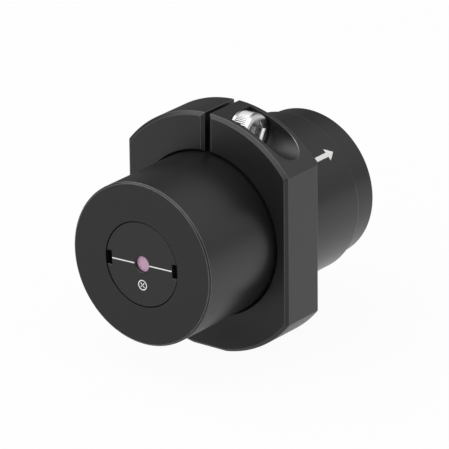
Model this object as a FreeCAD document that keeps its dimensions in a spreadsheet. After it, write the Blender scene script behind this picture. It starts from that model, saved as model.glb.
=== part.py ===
"""Optical isolator held in a split slip ring, in millimetres.

The origin is the mouth of the post hole, in the middle of the ring's flat foot. Light runs along
+Y, from the input face to the output cell, and +Z is up. Y = 0 is the middle of the ring.
"""
import FreeCAD, Part
import math
import os
import Sketcher

SIZES = {
    # slip ring
    "ring_thickness": 9.92,
    "ring_width": 35.6,
    "ring_diameter": 45.3,
    "ring_edge_chamfer": 0.6,
    "ring_bore_chamfer": 0.25,
    "foot_cut": 0.3,
    "slip_clearance": 0.05,
    "slit_width": 1.1,
    "post_hole_diameter": 3.45,
    "post_hole_depth": 5.6,
    # clamp screw and its pocket
    "clamp_inset": 3.3,
    "pocket_width": 7.0,
    "pocket_floor": 3.7,
    "clamp_head_diameter": 6.7,
    "clamp_head_height": 4.17,
    "clamp_head_bevel": 0.5,
    "clamp_thread_diameter": 4.17,
    "clamp_shank_length": 9.5,
    "tapped_depth": 6.1,
    "clamp_socket_width": 3.57,
    "clamp_socket_depth": 2.0,
    "through_hole_clearance": 0.2,
    "thread_clearance": 0.05,
    # barrel
    "barrel_diameter": 30.48,
    "front_reach": 24.2,
    "rear_reach": 20.94,
    "barrel_edge_chamfer": 0.3,
    "cavity_diameter": 25.6,
    "inner_web": 1.0,
    "beam_hole_diameter": 4.2,
    # retaining discs and windows, the same at both ends
    "disc_diameter": 15.7,
    "disc_thickness": 2.0,
    "disc_recess": 0.1,
    "disc_web": 0.7,
    "disc_clearance": 0.15,
    "input_disc_turn": -1.6,
    "aperture_diameter": 3.0,
    "aperture_chamfer": 0.15,
    "slot_width": 2.6,
    "slot_inner_radius": 6.7,
    "slot_depth": 1.2,
    "window_diameter": 8.0,
    "window_thickness": 1.25,
    "fit_clearance": 0.05,
    # polarisers, the same at both ends
    "mount_length": 6.8,
    "prism_side": 5.0,
    "seat_spare": 0.5,
    "polariser_angle": 45.0,
    # magnets and crystal
    "end_magnet_length": 8.0,
    "centre_magnet_length": 12.0,
    "magnet_bore_diameter": 9.0,
    "retainer_thickness": 2.0,
    "retainer_bore_diameter": 3.5,
    "retainer_slot_radius": 9.0,
    "retainer_slot_depth": 1.0,
    "crystal_diameter": 4.0,
    "crystal_length": 18.0,
    "spacer_bore_diameter": 3.0,
    # output cell
    "spigot_length": 4.9,
    "flange_diameter": 28.4,
    "flange_length": 5.85,
    # lock screws
    "lock_diameter": 2.2,
    "lock_sink": 0.25,
    "lock_socket_width": 0.9,
    "lock_socket_depth": 1.0,
    "lock_chamfer": 0.2,
    "input_lock_inset": 5.4,
    "output_lock_inset": 2.5,
}


class Length:
    """A size that keeps its number and the sheet expression that gives it."""

    def __init__(self, number, text):
        self.number = number
        self.text = text

    def __add__(self, other):
        other = as_length(other)
        return Length(self.number + other.number, f"({self.text} + {other.text})")

    def __sub__(self, other):
        other = as_length(other)
        return Length(self.number - other.number, f"({self.text} - {other.text})")

    def __mul__(self, factor):
        return Length(self.number * factor, f"({self.text} * {factor})")

    def __truediv__(self, divisor):
        return Length(self.number / divisor, f"({self.text} / {divisor})")

    def __neg__(self):
        return Length(-self.number, f"(0 - {self.text})")


def as_length(value):
    """A plain number as a Length."""
    if isinstance(value, Length):
        return value
    return Length(float(value), str(float(value)))


ZERO = Length(0.0, "0")


def fill_sheet(document):
    """Writes every driving size into a sheet, one alias each, and returns them by name."""
    sheet = document.addObject("Spreadsheet::Sheet", "Sizes")
    named = {}
    for row, (alias, value) in enumerate(SIZES.items(), 1):
        sheet.set(f"A{row}", alias)
        sheet.set(f"B{row}", str(value))
        sheet.setAlias(f"B{row}", alias)
        named[alias] = Length(value, f"Sizes.{alias}")
    document.recompute()
    return named


doc = FreeCAD.newDocument("OpticalIsolator")
size = fill_sheet(doc)

# Radii and places that several pieces share
ring_radius = size["ring_diameter"] / 2
axis_height = ring_radius - size["foot_cut"]
clamp_height = ring_radius - size["clamp_inset"]
half_thickness = size["ring_thickness"] / 2
half_width = size["ring_width"] / 2
barrel_radius = size["barrel_diameter"] / 2
ring_bore_radius = barrel_radius + size["slip_clearance"]
cavity_radius = size["cavity_diameter"] / 2
core_radius = cavity_radius - size["fit_clearance"]
beam_hole_radius = size["beam_hole_diameter"] / 2
disc_radius = size["disc_diameter"] / 2
cell_bore_radius = disc_radius + size["disc_clearance"]
mount_radius = cell_bore_radius - size["fit_clearance"]
magnet_bore_radius = size["magnet_bore_diameter"] / 2
sleeve_radius = magnet_bore_radius - size["fit_clearance"]
crystal_radius = size["crystal_diameter"] / 2
window_radius = size["window_diameter"] / 2
thread_radius = size["clamp_thread_diameter"] / 2
lock_radius = size["lock_diameter"] / 2

front_face = -size["front_reach"]
seam = size["rear_reach"]
barrel_length = size["front_reach"] + size["rear_reach"]
disc_back = size["disc_recess"] + size["disc_thickness"]
seat_depth = disc_back + size["mount_length"] + size["fit_clearance"]
core_front = front_face + seat_depth + size["inner_web"] + size["fit_clearance"]
core_length = size["end_magnet_length"] * 2 + size["centre_magnet_length"]
core_rear = core_front + core_length
spacer_length = (core_length - size["crystal_length"]) / 2
cell_front = seam - size["spigot_length"]
cell_length = size["spigot_length"] + size["fit_clearance"] + size["flange_length"]
rear_face = cell_front + cell_length
input_lock_place = front_face + size["input_lock_inset"]
output_lock_place = seam - size["output_lock_inset"]


def new_body(label):
    """An empty body that carries one piece."""
    body = doc.addObject("PartDesign::Body", label)
    body.Label = label
    return body


def new_sketch(body, role, offset=ZERO):
    """A sketch on one of the body's own origin planes, moved along its normal by offset."""
    sketch = body.newObject("Sketcher::SketchObject", body.Label + "_sketch")
    plane = [item for item in body.Origin.OriginFeatures if item.Role == role][0]
    sketch.AttachmentSupport = [(plane, "")]
    sketch.MapMode = "FlatFace"
    if offset is not ZERO:
        sketch.setExpression("AttachmentOffset.Base.z", offset.text)
    return sketch


def hold(sketch, edge, point, direction, length):
    """Fixes one coordinate of a point: on the axis where it is zero, else at a bound distance."""
    if length is ZERO:
        axis = -2 if direction == "DistanceX" else -1
        sketch.addConstraint(Sketcher.Constraint("PointOnObject", edge, point, axis))
    elif length.number > 0:
        index = sketch.addConstraint(
            Sketcher.Constraint(direction, -1, 1, edge, point, length.number))
        sketch.setExpression(f"Constraints[{index}]", length.text)
    else:
        index = sketch.addConstraint(
            Sketcher.Constraint(direction, edge, point, -1, 1, -length.number))
        sketch.setExpression(f"Constraints[{index}]", (-length).text)


def draw_polygon(sketch, corners):
    """A closed outline whose corners are each held at bound distances from the sketch's origin."""
    points = [FreeCAD.Vector(across.number, up.number, 0) for across, up in corners]
    first = sketch.GeometryCount
    count = len(points)
    for index, point in enumerate(points):
        sketch.addGeometry(Part.LineSegment(point, points[(index + 1) % count]), False)
    for index in range(count):
        following = first + (index + 1) % count
        sketch.addConstraint(Sketcher.Constraint("Coincident", first + index, 2, following, 1))
    for index, (across, up) in enumerate(corners):
        hold(sketch, first + index, 1, "DistanceX", across)
        hold(sketch, first + index, 1, "DistanceY", up)


def draw_rectangle(sketch, left, right, low, high):
    """An upright rectangle between four bound lines."""
    draw_polygon(sketch, [(left, low), (right, low), (right, high), (left, high)])


def draw_circle(sketch, across, up, radius):
    """A circle with a bound centre and radius."""
    centre = FreeCAD.Vector(across.number, up.number, 0)
    edge = sketch.addGeometry(Part.Circle(centre, FreeCAD.Vector(0, 0, 1), radius.number), False)
    if across is ZERO and up is ZERO:
        sketch.addConstraint(Sketcher.Constraint("Coincident", edge, 3, -1, 1))
    else:
        hold(sketch, edge, 3, "DistanceX", across)
        hold(sketch, edge, 3, "DistanceY", up)
    index = sketch.addConstraint(Sketcher.Constraint("Radius", edge, radius.number))
    sketch.setExpression(f"Constraints[{index}]", radius.text)


def draw_open_slot(sketch, half_width, centre, top):
    """A U-shaped outline: a half circle below its centre, with straight sides up to the top."""
    wide = half_width.number
    low = FreeCAD.Vector(wide, centre.number, 0)
    high = FreeCAD.Vector(wide, top.number, 0)
    far_high = FreeCAD.Vector(-wide, top.number, 0)
    far_low = FreeCAD.Vector(-wide, centre.number, 0)
    middle = FreeCAD.Vector(0, centre.number, 0)
    circle = Part.Circle(middle, FreeCAD.Vector(0, 0, 1), wide)
    bottom = sketch.addGeometry(Part.ArcOfCircle(circle, math.pi, 2 * math.pi), False)
    side = sketch.addGeometry(Part.LineSegment(low, high), False)
    lid = sketch.addGeometry(Part.LineSegment(high, far_high), False)
    far_side = sketch.addGeometry(Part.LineSegment(far_high, far_low), False)
    joins = [(bottom, side), (side, lid), (lid, far_side), (far_side, bottom)]
    for edge, following in joins:
        sketch.addConstraint(Sketcher.Constraint("Coincident", edge, 2, following, 1))
    hold(sketch, bottom, 3, "DistanceX", ZERO)
    hold(sketch, bottom, 3, "DistanceY", centre)
    hold(sketch, side, 1, "DistanceX", half_width)
    hold(sketch, side, 1, "DistanceY", centre)
    hold(sketch, side, 2, "DistanceX", half_width)
    hold(sketch, side, 2, "DistanceY", top)
    hold(sketch, far_side, 1, "DistanceX", -half_width)
    hold(sketch, far_side, 1, "DistanceY", top)
    hold(sketch, far_side, 2, "DistanceY", centre)


# A hexagon's corner radius for each millimetre across its flats
CORNER_PER_WIDTH = 3 ** -0.5


def draw_hexagon(sketch, across, up, width):
    """A regular hexagon, given its width across flats."""
    flat = width / 2
    corner = width * CORNER_PER_WIDTH
    half_corner = corner / 2
    outline = [(corner, ZERO), (half_corner, flat), (-half_corner, flat),
               (-corner, ZERO), (-half_corner, -flat), (half_corner, -flat)]
    if up is not ZERO or across is not ZERO:
        outline = [(across + x, up + y) for x, y in outline]
    draw_polygon(sketch, outline)


def cut(body, sketch, depth=None, forward=False):
    """A pocket against the sketch's normal, or along it, through everything or to a depth."""
    before = body.Shape.Volume
    pocket = body.newObject("PartDesign::Pocket", body.Label + "_cut")
    pocket.Profile = sketch
    pocket.Reversed = forward
    if depth is None:
        pocket.Type = "ThroughAll"
    else:
        pocket.Type = "Length"
        pocket.setExpression("Length", depth.text)
    doc.recompute()
    if not body.Shape.Volume < before:
        raise ValueError(f"{body.Label}: a cut removes nothing")
    return pocket


def turned(label, along, corners):
    """A body turned about its own X, Y or Z axis from corners of (distance along, radius)."""
    body = new_body(label)
    sketch = new_sketch(body, "XZ_Plane" if along == "Z" else "XY_Plane")
    if along == "X":
        draw_polygon(sketch, corners)
    else:
        draw_polygon(sketch, [(radius, distance) for distance, radius in corners])
    revolution = body.newObject("PartDesign::Revolution", label + "_turned")
    revolution.Profile = sketch
    revolution.ReferenceAxis = (sketch, ["H_Axis" if along == "X" else "V_Axis"])
    revolution.Angle = 360
    doc.recompute()
    return body


def place(body, across=ZERO, along=ZERO, up=ZERO, rotation=None):
    """Puts a body where the sheet says, turned by a fixed rotation where one is given."""
    if rotation is not None:
        body.Placement = FreeCAD.Placement(FreeCAD.Vector(), rotation)
    for axis, length in (("x", across), ("y", along), ("z", up)):
        body.setExpression(f"Placement.Base.{axis}", length.text)


def bevelled_cut(body, role, start, flats):
    """Mills away what lies past each flat, with the ring's bevel on both faces.

    A flat is (where it lies, how far out the cut goes, the side on which the ring is: -1 or 1).
    """
    bevel = size["ring_edge_chamfer"]
    inner = half_thickness - bevel
    sketch = new_sketch(body, role, start)
    for flat, far, inward in flats:
        brink = flat + bevel * inward
        corners = [(flat, inner), (brink, half_thickness), (far, half_thickness),
                   (far, -half_thickness), (brink, -half_thickness), (flat, -inner)]
        if role == "YZ_Plane":
            corners = [(along, up) for up, along in corners]
        draw_polygon(sketch, corners)
    cut(body, sketch, forward=True)


def bevelled_slit(body):
    """Cuts the jaws apart at the top, with the ring's bevel on both faces."""
    bevel = size["ring_edge_chamfer"]
    half_slit = size["slit_width"] / 2
    wide = half_slit + bevel
    inner = half_thickness - bevel
    slit = new_sketch(body, "XY_Plane")
    draw_polygon(slit, [
        (wide, -half_thickness), (half_slit, -inner), (half_slit, inner), (wide, half_thickness),
        (-wide, half_thickness), (-half_slit, inner), (-half_slit, -inner), (-wide, -half_thickness)])
    cut(body, slit, forward=True)


def make_slip_ring():
    """Turned ring blank with milled flats, slit, screw pocket and post hole.

    The screw's pocket is a slot milled down from the outside, with a round bottom. Its hole goes
    right through the near jaw and ends inside the far one, where it is tapped.
    """
    bevel = size["ring_bore_chamfer"]
    edge = size["ring_edge_chamfer"]
    body = turned("slip_ring", "Y", [
        (-half_thickness, ring_bore_radius + bevel),
        (-half_thickness, ring_radius - edge),
        (-(half_thickness - edge), ring_radius),
        (half_thickness - edge, ring_radius),
        (half_thickness, ring_radius - edge),
        (half_thickness, ring_bore_radius + bevel),
        (half_thickness - bevel, ring_bore_radius),
        (-(half_thickness - bevel), ring_bore_radius)])
    outside = size["ring_diameter"]
    bevelled_cut(body, "XY_Plane", -outside, [
        (half_width, outside, -1), (-half_width, -outside, 1)])
    bevelled_cut(body, "YZ_Plane", -outside, [(-axis_height, -outside, 1)])
    bevelled_slit(body)

    pocket = new_sketch(body, "YZ_Plane", size["pocket_floor"])
    draw_open_slot(pocket, size["pocket_width"] / 2, clamp_height, outside)
    cut(body, pocket, forward=True)
    through = new_sketch(body, "YZ_Plane")
    through_radius = thread_radius + size["through_hole_clearance"]
    draw_circle(through, ZERO, clamp_height, through_radius)
    cut(body, through, depth=size["pocket_floor"], forward=True)
    threaded = new_sketch(body, "YZ_Plane")
    draw_circle(threaded, ZERO, clamp_height, thread_radius + size["thread_clearance"])
    cut(body, threaded, depth=size["tapped_depth"])

    post = new_sketch(body, "XY_Plane", -axis_height)
    draw_circle(post, ZERO, ZERO, size["post_hole_diameter"] / 2)
    cut(body, post, depth=size["post_hole_depth"], forward=True)
    place(body, up=axis_height)


def make_clamp_screw():
    """Socket cap screw along X, with its head's bearing face on the pocket's floor."""
    head_radius = size["clamp_head_diameter"] / 2
    head = size["clamp_head_height"]
    shank = size["clamp_shank_length"]
    bevel = size["clamp_head_bevel"]
    body = turned("clamp_screw", "X", [
        (-shank, ZERO),
        (-shank, thread_radius),
        (ZERO, thread_radius),
        (ZERO, head_radius),
        (head - bevel, head_radius),
        (head, head_radius - bevel),
        (head, ZERO)])
    socket = new_sketch(body, "YZ_Plane", head)
    draw_hexagon(socket, ZERO, ZERO, size["clamp_socket_width"])
    cut(body, socket, depth=size["clamp_socket_depth"])
    place(body, across=size["pocket_floor"], up=axis_height + clamp_height)


def make_barrel():
    """Housing tube: a bored front block with a web, then the cavity that holds the magnets."""
    bevel = size["barrel_edge_chamfer"]
    web_back = seat_depth + size["inner_web"]
    body = turned("barrel", "Y", [
        (ZERO, cell_bore_radius),
        (ZERO, barrel_radius - bevel),
        (bevel, barrel_radius),
        (barrel_length - bevel, barrel_radius),
        (barrel_length, barrel_radius - bevel),
        (barrel_length, cavity_radius),
        (web_back, cavity_radius),
        (web_back, beam_hole_radius),
        (seat_depth, beam_hole_radius),
        (seat_depth, cell_bore_radius)])
    inside_bore = cell_bore_radius / 2
    lock_holes = new_sketch(body, "XY_Plane", -inside_bore)
    hole_radius = lock_radius + size["thread_clearance"]
    draw_circle(lock_holes, ZERO, size["input_lock_inset"], hole_radius)
    draw_circle(lock_holes, ZERO, barrel_length - size["output_lock_inset"], hole_radius)
    cut(body, lock_holes)
    place(body, along=front_face, up=axis_height)


HALF_TURN = FreeCAD.Rotation(FreeCAD.Vector(0, 0, 1), 180)


def end_place(body, end, inset, tilt=0.0):
    """Puts a piece that faces out of the input or output end, inset from that end's face."""
    spin = FreeCAD.Rotation(FreeCAD.Vector(0, 1, 0), tilt)
    if end == "input":
        place(body, along=front_face + inset, up=axis_height, rotation=spin)
    else:
        place(body, along=rear_face - inset, up=axis_height, rotation=HALF_TURN * spin)


def make_disc(end):
    """Retaining disc with the aperture, the window's seat behind it and two spanner slots."""
    aperture = size["aperture_diameter"] / 2
    bevel = size["aperture_chamfer"]
    seat = window_radius + size["fit_clearance"]
    body = turned(end + "_disc", "Y", [
        (ZERO, aperture + bevel),
        (ZERO, disc_radius),
        (size["disc_thickness"], disc_radius),
        (size["disc_thickness"], seat),
        (size["disc_web"], seat),
        (size["disc_web"], aperture),
        (bevel, aperture)])
    slots = new_sketch(body, "XZ_Plane")
    half_slot = size["slot_width"] / 2
    past_rim = disc_radius * 2
    draw_rectangle(slots, size["slot_inner_radius"], past_rim, -half_slot, half_slot)
    draw_rectangle(slots, -past_rim, -size["slot_inner_radius"], -half_slot, half_slot)
    cut(body, slots, depth=size["slot_depth"])
    turn = size["input_disc_turn"].number if end == "input" else 0.0
    end_place(body, end, size["disc_recess"], turn)


def make_window(end):
    """Coated window in the disc's seat."""
    body = turned(end + "_window", "Y", [
        (ZERO, ZERO), (ZERO, window_radius),
        (size["window_thickness"], window_radius), (size["window_thickness"], ZERO)])
    end_place(body, end, size["disc_recess"] + size["disc_web"])


def polariser_tilt(end):
    """The output polariser stands at its angle to the input's."""
    return size["polariser_angle"].number if end == "output" else 0.0


def make_mount(end):
    """Round mount with a square seat for the polariser."""
    length = size["mount_length"]
    body = turned(end + "_polariser_mount", "Y", [
        (ZERO, beam_hole_radius), (ZERO, mount_radius),
        (length, mount_radius), (length, beam_hole_radius)])
    seat = new_sketch(body, "XZ_Plane")
    half_seat = size["prism_side"] / 2 + size["fit_clearance"]
    draw_rectangle(seat, -half_seat, half_seat, -half_seat, half_seat)
    cut(body, seat, depth=size["prism_side"] + size["seat_spare"])
    end_place(body, end, disc_back, polariser_tilt(end))


def make_prism(end, name, corners):
    """One right-angle prism of the polarising cube, from its outline in (along, up)."""
    body = new_body(f"{end}_{name}_prism")
    outline = new_sketch(body, "YZ_Plane")
    draw_polygon(outline, corners)
    pad = body.newObject("PartDesign::Pad", body.Label + "_pad")
    pad.Profile = outline
    pad.SideType = "Symmetric"
    pad.setExpression("Length", size["prism_side"].text)
    doc.recompute()
    end_place(body, end, disc_back + size["seat_spare"], polariser_tilt(end))


def make_polariser(end):
    """Two prisms that share the cube's slanted face."""
    side = size["prism_side"]
    half = side / 2
    make_prism(end, "outer", [(ZERO, -half), (side, half), (ZERO, half)])
    make_prism(end, "inner", [(ZERO, -half), (side, -half), (side, half)])


def make_retaining_ring():
    """Ring that closes the magnet stack, with two spanner slots."""
    thickness = size["retainer_thickness"]
    inner = size["retainer_bore_diameter"] / 2
    body = turned("magnet_retaining_ring", "Y", [
        (ZERO, inner), (ZERO, core_radius), (thickness, core_radius), (thickness, inner)])
    slots = new_sketch(body, "XZ_Plane", -thickness)
    half_slot = size["slot_width"] / 2
    inner_end = size["retainer_slot_radius"]
    past_rim = core_radius * 2
    draw_rectangle(slots, inner_end, past_rim, -half_slot, half_slot)
    draw_rectangle(slots, -past_rim, -inner_end, -half_slot, half_slot)
    cut(body, slots, depth=size["retainer_slot_depth"], forward=True)
    place(body, along=core_rear, up=axis_height)


def make_tube(label, start, length, outer, inner):
    """Plain tube round the beam: a ring magnet, the crystal's sleeve or a spacer."""
    body = turned(label, "Y", [
        (ZERO, inner), (ZERO, outer), (length, outer), (length, inner)])
    place(body, along=start, up=axis_height)


def make_crystal():
    """Faraday crystal rod, centred in the magnets between its two spacers."""
    length = size["crystal_length"]
    body = turned("faraday_crystal", "Y", [
        (ZERO, ZERO), (ZERO, crystal_radius), (length, crystal_radius), (length, ZERO)])
    place(body, along=core_front + spacer_length, up=axis_height)


def make_output_cell():
    """End piece that turns to tune the isolator: a spigot and the visible flange.

    The lock screw stands eased off, just clear of the spigot, so the cell is free to turn.
    """
    flange_radius = size["flange_diameter"] / 2
    flange_front = size["spigot_length"] + size["fit_clearance"]
    bevel = size["barrel_edge_chamfer"]
    body = turned("output_cell", "Y", [
        (ZERO, beam_hole_radius),
        (ZERO, core_radius),
        (flange_front, core_radius),
        (flange_front, flange_radius),
        (cell_length - bevel, flange_radius),
        (cell_length, flange_radius - bevel),
        (cell_length, cell_bore_radius),
        (cell_length - seat_depth, cell_bore_radius),
        (cell_length - seat_depth, beam_hole_radius)])
    place(body, along=cell_front, up=axis_height)


def make_lock_screw(end, along, facing_radius):
    """Flat point set screw on the underside, from just below the tube's surface to what it faces."""
    bevel = size["lock_chamfer"]
    tip = facing_radius + size["thread_clearance"]
    outer = barrel_radius - size["lock_sink"]
    body = turned(end + "_lock_screw", "Z", [
        (-outer, ZERO),
        (-outer, lock_radius - bevel),
        (-(outer - bevel), lock_radius),
        (-tip, lock_radius),
        (-tip, ZERO)])
    socket = new_sketch(body, "XY_Plane", -outer)
    draw_hexagon(socket, ZERO, ZERO, size["lock_socket_width"])
    cut(body, socket, depth=size["lock_socket_depth"], forward=True)
    place(body, along=along, up=axis_height)


def make_core():
    """Magnets, retaining ring, sleeve, crystal and spacers, from the input side on."""
    centre_start = core_front + size["end_magnet_length"]
    rear_start = centre_start + size["centre_magnet_length"]
    end_length = size["end_magnet_length"]
    centre_length = size["centre_magnet_length"]
    make_tube("front_magnet", core_front, end_length, core_radius, magnet_bore_radius)
    make_tube("centre_magnet", centre_start, centre_length, core_radius, magnet_bore_radius)
    make_tube("rear_magnet", rear_start, end_length, core_radius, magnet_bore_radius)
    make_retaining_ring()
    sleeve_bore = crystal_radius + size["fit_clearance"]
    make_tube("crystal_sleeve", core_front, core_length, sleeve_radius, sleeve_bore)
    make_crystal()
    spacer_bore = size["spacer_bore_diameter"] / 2
    make_tube("crystal_front_spacer", core_front, spacer_length, crystal_radius, spacer_bore)
    rear_spacer = core_rear - spacer_length
    make_tube("crystal_rear_spacer", rear_spacer, spacer_length, crystal_radius, spacer_bore)


def write_parts():
    """Checks every object and piece, then writes each piece to its own STEP file."""
    doc.recompute()
    for item in doc.Objects:
        if "Invalid" in item.State or "Error" in item.State:
            raise ValueError(f"{item.Label} failed: {item.State}")
    bodies = [item for item in doc.Objects if item.TypeId == "PartDesign::Body"]
    for body in bodies:
        if body.Shape.isNull() or not body.Shape.isValid() or len(body.Shape.Solids) != 1:
            raise ValueError(f"{body.Label} is not one valid solid")
    os.makedirs("parts", exist_ok=True)
    for body in bodies:
        body.Shape.exportStep(f"parts/{body.Label}.step")
        box = body.Shape.BoundBox
        print(f"{body.Label}: {body.Shape.Volume:.2f} mm3, y {box.YMin:.2f} to {box.YMax:.2f}")


make_slip_ring()
make_clamp_screw()
make_barrel()
for side in ("input", "output"):
    make_disc(side)
    make_window(side)
    make_mount(side)
    make_polariser(side)
make_core()
make_output_cell()
make_lock_screw("input", input_lock_place, mount_radius)
make_lock_screw("output", output_lock_place, core_radius)
write_parts()
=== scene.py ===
# %% [markdown]
# # An optical isolator, dressed for its portrait
# The object is a black tube that lets light pass one way only. It sits in a split slip ring, which a
# small screw clamps round it. The CAD model comes in first as a fixed frame: metres, the origin in the
# ring's foot, light running along +Y, +Z up. It could be measured again for every piece, but its sizes
# are known, so each piece below is drawn in millimetres straight from them and needs no fitting.

# %% Load the frame
import math
import bmesh
import bpy
from mathutils import Matrix, Vector


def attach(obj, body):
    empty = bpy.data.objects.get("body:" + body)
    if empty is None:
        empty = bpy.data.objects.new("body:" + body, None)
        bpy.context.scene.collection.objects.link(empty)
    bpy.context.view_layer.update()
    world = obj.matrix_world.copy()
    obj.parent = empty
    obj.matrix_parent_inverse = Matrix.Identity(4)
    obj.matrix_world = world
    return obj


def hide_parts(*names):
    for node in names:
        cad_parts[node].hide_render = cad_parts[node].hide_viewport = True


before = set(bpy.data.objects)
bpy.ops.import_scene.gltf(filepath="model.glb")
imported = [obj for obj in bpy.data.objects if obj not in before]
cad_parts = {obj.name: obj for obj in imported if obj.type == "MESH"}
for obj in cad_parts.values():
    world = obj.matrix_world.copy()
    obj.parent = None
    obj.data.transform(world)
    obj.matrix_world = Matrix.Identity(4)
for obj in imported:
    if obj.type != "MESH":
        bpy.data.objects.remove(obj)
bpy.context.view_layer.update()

# %% [markdown]
# ## Rows of points
# Nearly everything on this object was turned on a lathe, so nearly everything can be described as rows
# of points that go once round an axis. A row may be a circle, a knurled circle, a hexagon or the outline
# of the ring. Blender's Screw modifier could spin a profile too, but it only knows circles. One function
# that joins row to row covers the lathe work, the knurl, the sockets and the threads alike.

# %% Rows, and the skin between them
MM = 0.001
AXIS = 22.35


def loop(along, radius, count=192, axis="Y"):
    """Points that go once round an axis, at a radius that may depend on the turn."""
    points = []
    for step in range(count):
        turn = 2 * math.pi * step / count
        reach = radius(turn) if callable(radius) else radius
        up, side = reach * math.cos(turn), reach * math.sin(turn)
        points.append({"X": (along, up, side), "Y": (side, along, up), "Z": (up, side, along)}[axis])
    return points


def skin(rows, closed=False):
    """Corners and faces between rows of equal length. A row of one point closes an end."""
    corners, faces, starts = [], [], []
    for row in rows:
        starts.append(len(corners))
        corners.extend(row)
    pairs = list(zip(range(len(rows)), range(1, len(rows))))
    if closed:
        pairs.append((len(rows) - 1, 0))
    for one, two in pairs:
        count = max(len(rows[one]), len(rows[two]))
        for k in range(count):
            ahead = (k + 1) % count
            near = [starts[one]] if len(rows[one]) == 1 else [starts[one] + k, starts[one] + ahead]
            far = [starts[two]] if len(rows[two]) == 1 else [starts[two] + ahead, starts[two] + k]
            faces.append(near + far)
    return corners, faces


print("a circle of 192 points on the tube has sides of", round(2 * math.pi * 15.24 / 192, 2), "mm")

# %% [markdown]
# ## Broken edges
# No real edge is perfectly sharp. A turned edge is broken by about a tenth of a millimetre, and that
# narrow band is what catches the light on a black part. A Bevel modifier could add it, but it struggles
# with the thin faces that cuts leave behind, so corners are rounded in the profile before it is spun.

# %% Rounded profiles
def rounded(corners, steps=4, closed=True):
    """Replaces each corner (a, b, reach) by a short curve that starts and ends reach away from it."""
    points = []
    for k, (a, b, reach) in enumerate(corners):
        here = Vector((a, b))
        if reach == 0 or (not closed and k in (0, len(corners) - 1)):
            points.append(here)
            continue
        before = Vector(corners[k - 1][:2]) - here
        after = Vector(corners[(k + 1) % len(corners)][:2]) - here
        start = here + before.normalized() * min(reach, before.length * 0.45)
        end = here + after.normalized() * min(reach, after.length * 0.45)
        for step in range(steps + 1):
            t = step / steps
            points.append(start * (1 - t) ** 2 + here * 2 * t * (1 - t) + end * t ** 2)
    return points


def spun(corners, count=192, axis="Y", steps=4):
    """Skin of a closed profile (along, radius, rounding) turned about an axis."""
    return skin([loop(p.x, p.y, count, axis) for p in rounded(corners, steps)], closed=True)


def rod(corners, count=96, axis="Y", steps=4):
    """Skin of an open profile turned about an axis, closed by a point at each end."""
    profile = rounded(corners, steps, closed=False)
    ends = [[loop(p.x, 0, 1, axis)[0]] for p in (profile[0], profile[-1])]
    return skin([ends[0]] + [loop(p.x, p.y, count, axis) for p in profile] + [ends[1]])


print("a corner rounded in 4 steps has", len(rounded([(0, 0, 0), (1, 0, 0.1), (1, 1, 0)], closed=False)) - 2,
      "points")

# %% [markdown]
# ## From skin to piece
# Pieces are drawn about the light's axis in millimetres, cut while they are that large, and only then
# shrunk to metres and lifted to the axis height, because cuts are more dependable on numbers near one.
# Exact booleans stand for the milling and drilling. Normals weighted by face area keep the flats flat
# right up to their broken edges. The faces of a broken edge are the only very narrow ones, so an
# attribute marks them: that is where handling thins the finish, and the bare metal shown there is also
# a painted highlight that makes the edges shine. On the pocket's rim the mark is a painted highlight,
# strongest at one height near the right end and fading to both sides of it.

# %% Pieces and cuts
NARROW, TINY = 0.06, 0.03
# the pocket's rim carries a painted highlight, strongest at this height and fading over this reach to a least
# share
RIM_GLINT_HEIGHT, RIM_GLINT_REACH, LEAST_RIM_GLINT = 17.9, 1.6, 0.1


def solid(name, shape):
    """An object from corners and faces, with every face turned outwards."""
    corners, faces = shape
    mesh = bpy.data.meshes.new(name)
    mesh.from_pydata([tuple(c) for c in corners], [], faces)
    work = bmesh.new()
    work.from_mesh(mesh)
    bmesh.ops.remove_doubles(work, verts=work.verts, dist=1e-5)
    bmesh.ops.recalc_face_normals(work, faces=work.faces)
    work.to_mesh(mesh)
    work.free()
    piece = bpy.data.objects.new(name, mesh)
    bpy.context.scene.collection.objects.link(piece)
    return piece


def cut_away(piece, shape):
    """Subtracts a closed shape from a piece, as a mill or a drill would."""
    cutter = solid("cutter", shape)
    step = piece.modifiers.new("cut", "BOOLEAN")
    step.operation = "DIFFERENCE"
    step.solver = "EXACT"
    step.object = cutter
    bpy.context.view_layer.update()
    result = bpy.data.meshes.new_from_object(piece.evaluated_get(bpy.context.evaluated_depsgraph_get()))
    piece.modifiers.clear()
    before = len(piece.data.polygons)
    piece.data = result
    bpy.data.objects.remove(cutter)
    return len(result.polygons) - before


def joined(*shapes):
    """One skin from several, for a piece that is made of separate closed shapes."""
    corners, faces = [], []
    for more_corners, more_faces in shapes:
        faces.extend([k + len(corners) for k in face] for face in more_faces)
        corners.extend(more_corners)
    return corners, faces


def mark_wear_and_glint(piece, beyond, light):
    """Marks narrow faces by the amount light, for wear with a painted highlight, and other tiny ones,
    the pocket's rim, with a painted highlight.

    Faces nearer to the axis than beyond are sheltered and stay as they are.
    """
    # this attribute carries wear on narrow edges together with a painted highlight along them
    wear_and_glint = piece.data.attributes.new("wear_and_glint", "FLOAT", "FACE")
    for polygon in piece.data.polygons:
        corners = [piece.data.vertices[k].co for k in polygon.vertices]
        longest = max((corner - corners[k - 1]).length for k, corner in enumerate(corners))
        # painted highlight on the pocket's rim, fading away from one height
        rim_glint = max(1.0 - abs(polygon.center.z - RIM_GLINT_HEIGHT) / RIM_GLINT_REACH, LEAST_RIM_GLINT)
        small = rim_glint if polygon.area < TINY else 0.0
        level = light if polygon.area / longest < NARROW else small
        outside = math.hypot(polygon.center.x, polygon.center.z) > beyond
        wear_and_glint.data[polygon.index].value = level if outside else 0.0


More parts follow.
